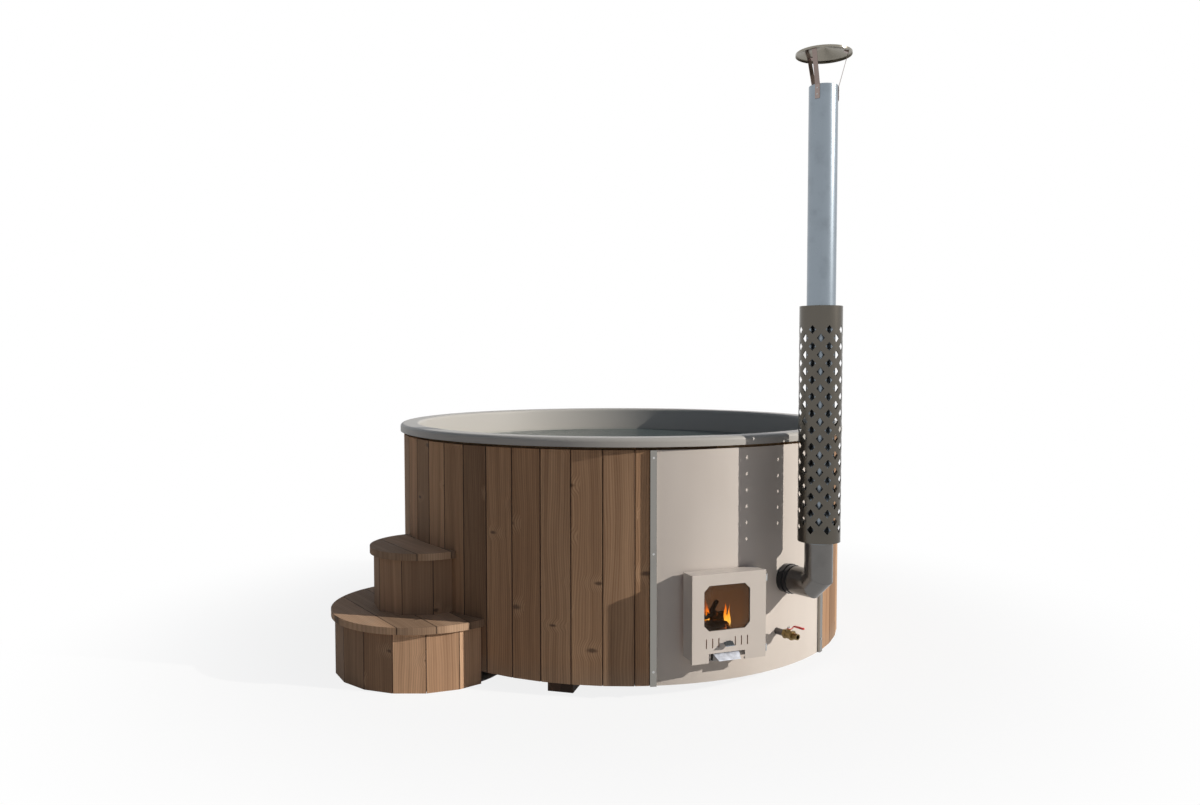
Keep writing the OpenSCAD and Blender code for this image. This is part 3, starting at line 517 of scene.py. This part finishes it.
def water_face():
    """Still water: clear from above, bright at a slant, with slow ripples."""
    look = Look("water_face")
    x, y, z = look.place()
    swell = look.noise(look.vector(x, y, z), 3.2, 2.0)
    ripple = look.noise(look.vector(x, y * 1.6, z), 13, 3.0, 0.55)
    face = look.bump(ripple, 0.55, 0.012, look.bump(swell, 0.3, 0.02))
    clear = look.node("ShaderNodeBsdfTransparent", None, ((0.84, 0.92, 0.90),))
    gloss = look.principled(
        Base_Color=look.mix(swell, (0.21, 0.28, 0.28), (0.31, 0.38, 0.37)),
        Roughness=ripple * 0.03 + 0.02,
        Normal=face,
    )
    share = look.node("ShaderNodeFresnel", None, {"IOR": 1.33, "Normal": face})
    return look.output(look.node("ShaderNodeMixShader", None, (share * 0.80 + 0.16, clear, gloss)))


def burning_log():
    """Charred bark with glowing cracks."""
    look = Look("burning_log")
    x, y, z = look.place()
    spot = look.vector(x, y, z)
    bark = look.noise(look.vector(x * 30, y * 30, z * 30), 1.0, 5.0, 0.7)
    cells = {"Vector": spot, "Scale": 48}
    gap = look.node("ShaderNodeTexVoronoi", {"feature": "DISTANCE_TO_EDGE"}, cells)
    crack = 1 - gap.ramp(0.0, 0.09)
    glow = crack * look.noise(spot, 17, 2.0).ramp(0.60, 0.72)
    return look.finish(
        Base_Color=look.mix(bark, (0.006, 0.005, 0.005), (0.030, 0.021, 0.016)),
        Roughness=bark * 0.2 + 0.75,
        Emission_Color=look.mix(glow, BLACK, (1.0, 0.22, 0.02)),
        Emission_Strength=1.0,
        Normal=look.bump(bark - crack * 0.6, 0.9, 0.004),
    )


def flame_light():
    """Yellow at the grate, red higher up, with torn see-through tips."""
    look = Look("flame_light")
    x, y, z = look.place()
    reach = 0.15
    lick = look.noise(look.vector(x * 42, y * 42, z * 11), 1.0, 3.0, 0.6)
    up = (z - FIRE_Z) / reach + (lick - 0.5) * 0.8
    heat = look.stops(
        up,
        (0.0, (1.0, 0.58, 0.14)),
        (0.3, (1.0, 0.42, 0.04)),
        (0.55, (0.95, 0.20, 0.01)),
        (0.9, (0.4, 0.05, 0.0)),
    )
    return look.finish(
        Base_Color=BLACK,
        Roughness=1.0,
        Specular_IOR_Level=0.0,
        Emission_Color=heat,
        Emission_Strength=1.7,
        Alpha=(1 - up.ramp(0.3, 1.1)) * (lick.ramp(0.34, 0.5) * 0.9 + 0.05),
    )


def ember_bed():
    """Ash-grey lumps with a red glow in their darker places."""
    look = Look("ember_bed")
    x, y, z = look.place()
    ash = look.noise(look.vector(x, y, z), 85, 4.0, 0.65)
    return look.finish(
        Base_Color=look.mix(ash, (0.02, 0.017, 0.015), (0.32, 0.30, 0.28)),
        Roughness=ash * 0.1 + 0.85,
        Emission_Color=look.mix(1 - ash.ramp(0.30, 0.44), BLACK, (1.0, 0.20, 0.015)),
        Emission_Strength=1.2,
        Normal=look.bump(ash, 0.8, 0.003),
    )


def new_piece(name, build, material, body="tub", smooth=True):
    """A mesh made by build(bmesh), with its material, riding on a body."""
    mesh = bpy.data.meshes.new(name)
    work = bmesh.new()
    build(work)
    bmesh.ops.recalc_face_normals(work, faces=work.faces)
    for face in work.faces:
        face.smooth = smooth
    work.to_mesh(mesh)
    work.free()
    piece = bpy.data.objects.new(name, mesh)
    bpy.context.scene.collection.objects.link(piece)
    mesh.materials.append(material)
    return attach(piece, body)


def skin(work, rings, caps=True):
    """Faces between closed rings of points, which have the same number of points each."""
    rows = [[work.verts.new(p) for p in ring] for ring in rings]
    size = len(rows[0])
    for low, high in zip(rows, rows[1:]):
        for i in range(size):
            j = (i + 1) % size
            work.faces.new((low[i], low[j], high[j], high[i]))
    if caps:
        for row in (rows[0], rows[-1]):
            middle = sum((v.co for v in row), Vector()) / size
            hub = work.verts.new(middle)
            for i in range(size):
                work.faces.new((row[i], row[(i + 1) % size], hub))
    return rows


def dipped_sleeve(work, node, rise, thickness):
    """A soft skin over the part of a flat lever that lies higher than rise."""
    work.from_mesh(NODES[node].data)
    bmesh.ops.remove_doubles(work, verts=work.verts, dist=1e-5)
    bare = [v for v in work.verts if v.co.z < rise]
    bmesh.ops.delete(work, geom=bare, context="VERTS")
    bmesh.ops.holes_fill(work, edges=work.edges, sides=0)
    bmesh.ops.recalc_face_normals(work, faces=work.faces)
    work.normal_update()
    for v in work.verts:
        v.co += v.normal * thickness


def inner_radius(height):
    """Radius of the liner's inner wall at a height."""
    found, place, *_ = NODES["liner"].ray_cast(Vector((0, 0, height)), Vector((-1, 0, 0)))
    if not found:
        raise RuntimeError("the liner has no wall at the water's height")
    return Vector((place.x, place.y, 0)).length


def water_sheet(work, level, ripple):
    """Round water surface that rises a little where it meets the liner."""
    clearance = 0.0006
    radius = inner_radius(level) - clearance
    count = 120
    steps = 46
    centre_share = 0.03
    meniscus_share = 0.985
    meniscus_rise = 0.0015
    rings = []
    for i in range(steps + 1):
        share = centre_share + (1 - centre_share) * i / steps
        ring = []
        for k in range(count):
            a = 2 * math.pi * k / count
            p = Vector((math.cos(a), math.sin(a), 0)) * radius * share
            small = noise.noise(p * 15 + Vector((7, 0, 0))) * 0.35
            lift = (noise.noise(p * 5.0) + small) * ripple
            edge = max(0.0, share - meniscus_share) / (1 - meniscus_share)
            ring.append(Vector((p.x, p.y, level + lift * (1 - edge) + edge * edge * meniscus_rise)))
        rings.append(ring)
    rows = skin(work, rings, caps=False)
    work.faces.new(rows[0])


def rough_log(work, start, end, radius, seed):
    """A split log: out of round, bent, with ridged bark and worn ends."""
    sides, steps = 26, 20
    tip_share, end_share, end_swell = 0.9, 0.72, 3.2
    bow, split, bark_depth = 0.16, 0.28, 0.10
    ridge_count, ridge_depth, ridge_wander = 9, 0.045, 5
    start, end = Vector(start), Vector(end)
    axis = (end - start).normalized()
    side = axis.orthogonal().normalized()
    other = axis.cross(side)
    rings = []
    for i in range(steps + 1):
        t = i / steps
        spine = start.lerp(end, t) + side * math.sin(t * 3.1 + seed) * radius * bow
        close = min(1.0, end_share + end_swell * min(t, 1 - t))
        ring = []
        for k in range(sides):
            a = 2 * math.pi * k / sides
            way = side * math.cos(a) + other * math.sin(a)
            flat = 1.0 - split * max(0.0, math.cos(a - seed))
            bark = 1.0 + bark_depth * noise.noise((spine + way * radius) * 46 + Vector((seed, 0, 0)))
            ridge_turn = a * ridge_count + ridge_wander * noise.noise(spine * 20)
            ridge = 1.0 + ridge_depth * math.sin(ridge_turn)
            narrowed = 1 - (1 - tip_share) * t
            ring.append(spine + way * radius * flat * bark * ridge * close * narrowed)
        rings.append(ring)
    skin(work, rings)


def flame_tongue(work, foot, height, width, seed):
    """A flame: a flat, twisted tongue that narrows and curls towards its tip."""
    sides, steps = 14, 22
    foot_share, belly, tip_share = 0.12, 0.62, 0.015
    turns, curl, flatness, torn_by = 1.7, 0.55, 0.42, 0.25
    foot = Vector(foot)
    rings = []
    for i in range(steps + 1):
        t = i / steps
        along = min(1.0, foot_share + t * (1 - foot_share)) ** belly
        girth = width * (math.sin(math.pi * along) + tip_share)
        twist = seed + t * turns
        drift = Vector((math.sin(t * 4.2 + seed), math.cos(t * 3.1 + seed * 2), 0))
        sway = drift * width * curl * t
        ring = []
        for k in range(sides):
            a = 2 * math.pi * k / sides
            x = math.cos(a) * girth
            y = math.sin(a) * girth * flatness
            torn = 1 + torn_by * noise.noise(Vector((x * 30, y * 30, t * 5 + seed)))
            turned_x = x * math.cos(twist) - y * math.sin(twist)
            turned_y = x * math.sin(twist) + y * math.cos(twist)
            ring.append(foot + sway + Vector((turned_x, turned_y, 0)) * torn + Vector((0, 0, t * height)))
        rings.append(ring)
    skin(work, rings)


def ember_lumps(work, low, high, count):
    """Rough lumps, strewn between two corners."""
    dice = random.Random(5)
    smallest, largest = 0.006, 0.013
    wide, tall, rough = 1.2, 0.75, 0.45
    for _ in range(count):
        size = dice.uniform(smallest, largest)
        spot = Vector((dice.uniform(low.x, high.x), dice.uniform(low.y, high.y), low.z + size * 0.8))
        made = bmesh.ops.create_icosphere(work, subdivisions=2, radius=size)
        for v in made["verts"]:
            v.co *= 1 + rough * noise.noise(v.co * 110 + spot * 40)
            v.co = Vector((v.co.x * wide, v.co.y, v.co.z * tall)) + spot


class TubSizes(bpy.types.PropertyGroup):
    """Sizes that a user would change."""

    water_level: bpy.props.FloatProperty(
        name="Water level",
        description="Height of the water above the ground",
        default=0.93,
        min=0.6,
        max=1.0,
        unit="LENGTH",
    )
    ripple: bpy.props.FloatProperty(
        name="Ripple",
        description="Height of the ripples",
        default=0.0016,
        min=0.0,
        max=0.01,
        unit="LENGTH",
    )
    flame_height: bpy.props.FloatProperty(
        name="Flame height",
        description="Height of the flames before each one's own share",
        default=0.10,
        min=0.02,
        max=0.2,
        unit="LENGTH",
    )
    ember_count: bpy.props.IntProperty(
        name="Embers",
        description="Number of glowing lumps on the grate",
        default=90,
        min=0,
        max=300,
    )
    floor_size: bpy.props.FloatProperty(
        name="Floor size",
        description="Side of the studio floor",
        default=60.0,
        min=10.0,
        unit="LENGTH",
    )


class TubColours(bpy.types.PropertyGroup):
    """Colours that a user would change."""

    lever: bpy.props.FloatVectorProperty(
        name="Lever",
        description="Colour of the drain valve's lever",
        subtype="COLOR",
        default=(0.90, 0.014, 0.012),
        min=0,
        max=1,
    )
    brass: bpy.props.FloatVectorProperty(
        name="Brass",
        description="Colour of the drain fittings",
        subtype="COLOR",
        default=(0.29, 0.215, 0.10),
        min=0,
        max=1,
    )
    key_light: bpy.props.FloatVectorProperty(
        name="Key light",
        description="Colour of the key light",
        subtype="COLOR",
        default=(1.0, 0.95, 0.88),
        min=0,
        max=1,
    )


def dress(material, *names):
    """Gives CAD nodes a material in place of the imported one."""
    for name in names:
        mesh = NODES[name].data
        mesh.materials.clear()
        mesh.materials.append(material)


class HOTTUB_OT_timber(bpy.types.Operator):
    """Cladding, stair, skids and the hidden frame"""

    bl_idname = "hottub.timber"
    bl_label = "Timber"

    def execute(self, context):
        dress(cladding_timber(), "cladding_left", "cladding_back", "cladding_right", "ripped_boards")
        dress(riser_timber(), "lower_risers", "upper_risers")
        dress(tread_timber(), "lower_treads", "upper_treads")
        dress(skid_timber(), "skids")
        hidden = frame_timber()
        dress(hidden, "base_deck", "floor_bearers", "posts", "panel_backing", "stair_frame")
        dress(hidden, "lower_hoop", "middle_hoop", "upper_hoop")
        return {"FINISHED"}


class HOTTUB_OT_liner(bpy.types.Operator):
    """Moulded liner with its drain and water inlets"""

    bl_idname = "hottub.liner"
    bl_label = "Liner"

    def execute(self, context):
        dress(gelcoat(), "liner")
        steel = plain_metal("inlet_steel", (0.62, 0.63, 0.64), 0.24)
        dress(steel, "water_pipes", "pipe_grilles", "floor_drain")
        return {"FINISHED"}


class HOTTUB_OT_panel(bpy.types.Operator):
    """Painted steel panel, mirror edge trims, furnace mouth and door"""

    bl_idname = "hottub.panel"
    bl_label = "Panel and door"

    def execute(self, context):
        dress(satin_paint(), "cover_panel", "mouth_casing", "door_panel")
        # The trims' tint is a painted reflection.
        dress(mirror_steel("trim_mirror", 0.1, 0.2, (0.30, 0.29, 0.27)), "edge_trims")
        dress(plain_metal("screw_steel", (0.66, 0.66, 0.66), 0.22), "trim_screws", "glass_screws")
        zinc = plain_metal("zinc_plate", (0.52, 0.53, 0.54), 0.34)
        dress(zinc, "slide_guides", "glass_frame", "hinge_brackets", "hinge_knuckles")
        dress(plain_metal("slide_plate", (0.05, 0.05, 0.052), 0.42), "air_slide")
        # The knob's bluish tint is a painted sky reflection.
        dress(mirror_steel("knob_chrome", 0.12, 0.2, (0.34, 0.38, 0.42)), "air_knob")
        # The tab's bluish-white tint is a painted sky reflection.
        dress(plain_metal("ash_pan_steel", (0.72, 0.75, 0.82), 0.5), "ash_pan_tab")
        dress(plain_metal("pan_steel", (0.30, 0.29, 0.28), 0.45, rust=0.6), "ash_pan")
        dress(stove_glass(), "door_glass")
        dress(rope_seal(), "door_seal")
        return {"FINISHED"}


class HOTTUB_OT_furnace(bpy.types.Operator):
    """Water-jacketed furnace behind the panel"""

    bl_idname = "hottub.furnace"
    bl_label = "Furnace"

    def execute(self, context):
        dress(furnace_iron(), "furnace_shell", "mouth_neck")
        steel = plain_metal("furnace_steel", (0.34, 0.33, 0.32), 0.4, rust=0.5)
        dress(steel, "furnace_feet", "ash_rails", "flue_outlet")
        dress(plain_metal("grate_iron", (0.12, 0.11, 0.10), 0.55, pits=0.6, rust=0.7), "fire_grate")
        return {"FINISHED"}


class HOTTUB_OT_flue(bpy.types.Operator):
    """Stub, elbow, pipe, perforated guard and rain cap"""

    bl_idname = "hottub.flue"
    bl_label = "Flue"

    def execute(self, context):
        # The tints below are painted reflections: bluish on the pipe, dark on the elbow, stub and guard,
        # warm on the cap and straps.
        dress(mirror_steel("pipe_mirror", 0.26, 0.5), "flue_pipe")
        dress(mirror_steel("elbow_mirror", 0.18, 0.4, (0.16, 0.155, 0.15)), "flue_elbow")
        chrome = mirror_steel("stub_mirror", 0.06, 0.2, (0.07, 0.072, 0.078), sheet_warp=0.5)
        dress(chrome, "flue_stub")
        dress(mirror_steel("guard_steel", 0.22, 0.5, (0.115, 0.105, 0.09)), "heat_guard")
        dress(mirror_steel("cap_steel", 0.16, 0.4, (0.26, 0.24, 0.20)), "rain_cap")
        dress(mirror_steel("strap_steel", 0.14, 0.3, (0.30, 0.24, 0.22)), "cap_straps")
        dress(plain_metal("clip_steel", (0.5, 0.5, 0.5), 0.3), "guard_spacers", "cap_rivets")
        return {"FINISHED"}


class HOTTUB_OT_drain(bpy.types.Operator):
    """Drain pipe, ball valve and its lever"""

    bl_idname = "hottub.drain"
    bl_label = "Drain valve"

    def execute(self, context):
        colours = context.scene.tub_colours
        dress(plain_metal("nipple_steel", (0.16, 0.15, 0.15), 0.38, pits=0.3), "drain_pipe")
        dress(plain_metal("valve_brass", tuple(colours.brass), 0.24, pits=0.15), "valve_body", "hose_tail")
        dress(plain_metal("valve_steel", (0.6, 0.6, 0.6), 0.2), "valve_stem", "valve_ball", "lever_nut")
        red = enamel("lever_red", tuple(colours.lever))
        dress(red, "valve_lever")
        bare_height = 0.0155
        thickness = 0.0016
        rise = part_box("valve_lever")[0].z + bare_height

        def grip(work):
            dipped_sleeve(work, "valve_lever", rise, thickness)

        sleeve = new_piece("lever_sleeve", grip, red, "drain_valve")
        return {"FINISHED"}


class HOTTUB_OT_water(bpy.types.Operator):
    """Water in the tub, up to a hand below the rim"""

    bl_idname = "hottub.water"
    bl_label = "Water"

    def execute(self, context):
        sizes = context.scene.tub_sizes

        def sheet(work):
            water_sheet(work, sizes.water_level, sizes.ripple)

        new_piece("tub_water", sheet, water_face())
        return {"FINISHED"}


class HOTTUB_OT_fire(bpy.types.Operator):
    """Logs, embers and flames on the grate"""

    bl_idname = "hottub.fire"
    bl_label = "Fire"

    def execute(self, context):
        sizes = context.scene.tub_sizes
        bed = FIRE_Z
        wood = burning_log()
        # Each log's start, end, radius and seed.
        logs = (
            ((-0.12, -0.955, bed + 0.032), (0.112, -0.945, bed + 0.026), 0.034, 1.0),
            ((-0.05, -0.90, bed + 0.036), (0.15, -0.86, bed + 0.034), 0.034, 2.4),
            ((-0.03, -0.935, bed + 0.072), (0.075, -0.915, bed + 0.066), 0.022, 4.1),
            ((0.028, -0.935, bed + 0.060), (0.076, -0.925, bed + 0.128), 0.013, 5.3),
        )
        for i, (start, end, radius, seed) in enumerate(logs):

            def one_log(work):
                rough_log(work, start, end, radius, seed)

            new_piece(f"fire_log_{i + 1}", one_log, wood)
        room_low = Vector((-0.11, -0.97, bed))
        room_high = Vector((0.12, -0.73, bed))

        def embers(work):
            ember_lumps(work, room_low, room_high, sizes.ember_count)

        new_piece("fire_embers", embers, ember_bed(), smooth=False)
        # Each flame's foot in X and Y, its rise over the grate, its share of the height,
        # its width and its seed.
        tongues = (
            (0.014, -0.940, 0.040, 1.1, 0.010, 0.4),
            (0.026, -0.938, 0.050, 0.75, 0.007, 1.9),
            (0.004, -0.945, 0.030, 1.3, 0.011, 3.1),
            (0.108, -0.935, 0.030, 0.85, 0.008, 4.4),
            (0.116, -0.930, 0.015, 0.55, 0.007, 5.2),
            (0.128, -0.925, 0.005, 0.60, 0.007, 0.9),
            (0.140, -0.915, 0.005, 1.0, 0.008, 2.6),
        )

        def flames(work):
            for x, y, rise, share, width, seed in tongues:
                flame_tongue(work, (x, y, bed + rise), sizes.flame_height * share, width, seed)

        new_piece("fire_flames", flames, flame_light())
        return {"FINISHED"}


def studio_floor_look():
    """Pale matt floor. Seen directly, or in a mirror, most of its light is plain white."""
    look = Look("studio_floor")
    x, y, z = look.place()
    tub_foot, stair_foot = 0.9, 0.37
    fade_near, fade_far = 1.3, 3.0
    grain = look.noise(look.vector(x, y, z), 60, 2.0)
    seen = look.node("ShaderNodeLightPath", out="Is Camera Ray")
    mirrored = look.node("ShaderNodeLightPath", out="Is Glossy Ray")
    pale = look.mix(grain, (0.80, 0.80, 0.80), (0.82, 0.82, 0.82))
    matt = look.principled(Base_Color=look.mix(seen, (0.52, 0.485, 0.44), pale), Roughness=0.9)
    white = look.node("ShaderNodeEmission", None, (WHITE, 1.0))
    from_tub = (x * x + y * y) ** 0.5
    stair = about_axis(STAIR_A, STAIR_R)
    from_stair = ((x - stair.x) * (x - stair.x) + (y - stair.y) * (y - stair.y)) ** 0.5
    open_floor = (from_tub > tub_foot) * (from_stair > stair_foot)
    direct = seen * (from_tub.ramp(fade_near, fade_far) * 0.15 + 0.85)
    share = (direct + mirrored * 0.75) * open_floor
    return look.output(look.node("ShaderNodeMixShader", None, (share, matt, white)))


def studio_world():
    """Soft sky: bright low down and on the key light's side, white where it is seen."""
    look = Look("studio_sky", "worlds")
    aside, ahead, up = look.parts(look.node("ShaderNodeTexCoord", out="Generated"))
    open_side = about_axis(KEY_A, 1.0)
    facing = (aside * open_side.x + ahead * open_side.y) * 0.5 + 0.5
    sky = look.stops(
        up * 0.5 + 0.5,
        (0.0, (0.42, 0.38, 0.34)),
        (0.49, (0.50, 0.47, 0.44)),
        (0.53, (0.78, 0.80, 0.84)),
        (0.66, (0.50, 0.55, 0.64)),
        (1.0, (0.26, 0.31, 0.39)),
    )
    cast = look.mix(facing, (0.74, 0.90, 1.14), (1.0, 0.98, 0.95))
    soft = look.node("ShaderNodeBackground", None, (look.times(sky, cast), facing * 0.38 + 0.10))
    white = look.node("ShaderNodeBackground", None, (WHITE, 1.0))
    direct = look.node("ShaderNodeLightPath", out="Is Camera Ray")
    mirrored = look.node("ShaderNodeLightPath", out="Is Glossy Ray")
    through = look.node("ShaderNodeLightPath", out="Is Transmission Ray")
    share = look.node("ShaderNodeMath", {"operation": "MAXIMUM"}, (direct, mirrored))
    seen = look.node("ShaderNodeMath", {"operation": "MAXIMUM"}, (share, through))
    both = look.node("ShaderNodeMixShader", None, (seen, soft, white))
    return look.output(both, "ShaderNodeOutputWorld")


class HOTTUB_OT_studio(bpy.types.Operator):
    """Floor, soft sky, key light and the camera at the photograph's angle"""

    bl_idname = "hottub.studio"
    bl_label = "Studio"

    def execute(self, context):
        scene = context.scene
        half = scene.tub_sizes.floor_size / 2
        just_under = -0.001
        corners = [(-half, -half), (half, -half), (half, half), (-half, half)]
        mesh = bpy.data.meshes.new("studio_floor")
        mesh.from_pydata([(x, y, just_under) for x, y in corners], [], [(0, 1, 2, 3)])
        mesh.materials.append(studio_floor_look())
        floor = bpy.data.objects.new("studio_floor", mesh)
        scene.collection.objects.link(floor)
        scene.world = studio_world()
        scene.view_settings.view_transform = "Standard"

        key = bpy.data.lights.new("key_light", "SUN")
        key.energy = 3.9
        key.angle = math.radians(0.6)
        key.color = scene.tub_colours.key_light
        lamp = bpy.data.objects.new("key_light", key)
        rise = math.radians(KEY_RISE)
        towards = about_axis(KEY_A, math.cos(rise), math.sin(rise))
        lamp.rotation_euler = towards.to_track_quat("Z", "Y").to_euler()
        lamp.location = towards * 8
        scene.collection.objects.link(lamp)

        lens = bpy.data.cameras.new("photo_camera")
        lens.lens = 28.22
        lens.sensor_width = 36.0
        lens.sensor_fit = "HORIZONTAL"
        lens.clip_end = 100.0
        camera = bpy.data.objects.new("photo_camera", lens)
        stand = Vector((-1.7799, -4.4613, 1.3755))
        heading = math.radians(-21.75)
        pan, pitch, roll = -0.0216, 0.0485, -0.0007
        level = math.cos(pitch)
        ahead = Vector((math.sin(pan) * level, math.cos(pan) * level, -math.sin(pitch)))
        ahead.rotate(Matrix.Rotation(heading, 3, "Z"))
        turned = ahead.to_track_quat("-Z", "Y").to_matrix() @ Matrix.Rotation(roll, 3, "Z")
        camera.matrix_world = Matrix.Translation(stand) @ turned.to_4x4()
        scene.collection.objects.link(camera)
        scene.camera = camera
        return {"FINISHED"}


PIECES = (
    HOTTUB_OT_timber,
    HOTTUB_OT_liner,
    HOTTUB_OT_panel,
    HOTTUB_OT_furnace,
    HOTTUB_OT_flue,
    HOTTUB_OT_drain,
    HOTTUB_OT_water,
    HOTTUB_OT_fire,
    HOTTUB_OT_studio,
)


class HOTTUB_PT_sidebar(bpy.types.Panel):
    """Lists the sizes, the colours and the pieces"""

    bl_idname = "HOTTUB_PT_sidebar"
    bl_label = "Wood-fired hot tub"
    bl_space_type = "VIEW_3D"
    bl_region_type = "UI"
    bl_category = "Hot Tub"

    def draw(self, context):
        scene = context.scene
        for group in (scene.tub_sizes, scene.tub_colours):
            box = self.layout.box()
            for name in group.__annotations__:
                box.prop(group, name)
        for piece in PIECES:
            self.layout.operator(piece.bl_idname)


CLASSES = (TubSizes, TubColours, *PIECES, HOTTUB_PT_sidebar)


def register():
    for made in CLASSES:
        bpy.utils.register_class(made)
    bpy.types.Scene.tub_sizes = bpy.props.PointerProperty(type=TubSizes)
    bpy.types.Scene.tub_colours = bpy.props.PointerProperty(type=TubColours)


def unregister():
    del bpy.types.Scene.tub_colours
    del bpy.types.Scene.tub_sizes
    for made in reversed(CLASSES):
        bpy.utils.unregister_class(made)


def main():
    register()
    for piece in PIECES:
        getattr(bpy.ops.hottub, piece.bl_idname.split(".")[1])()


if __name__ == "__main__":
    main()
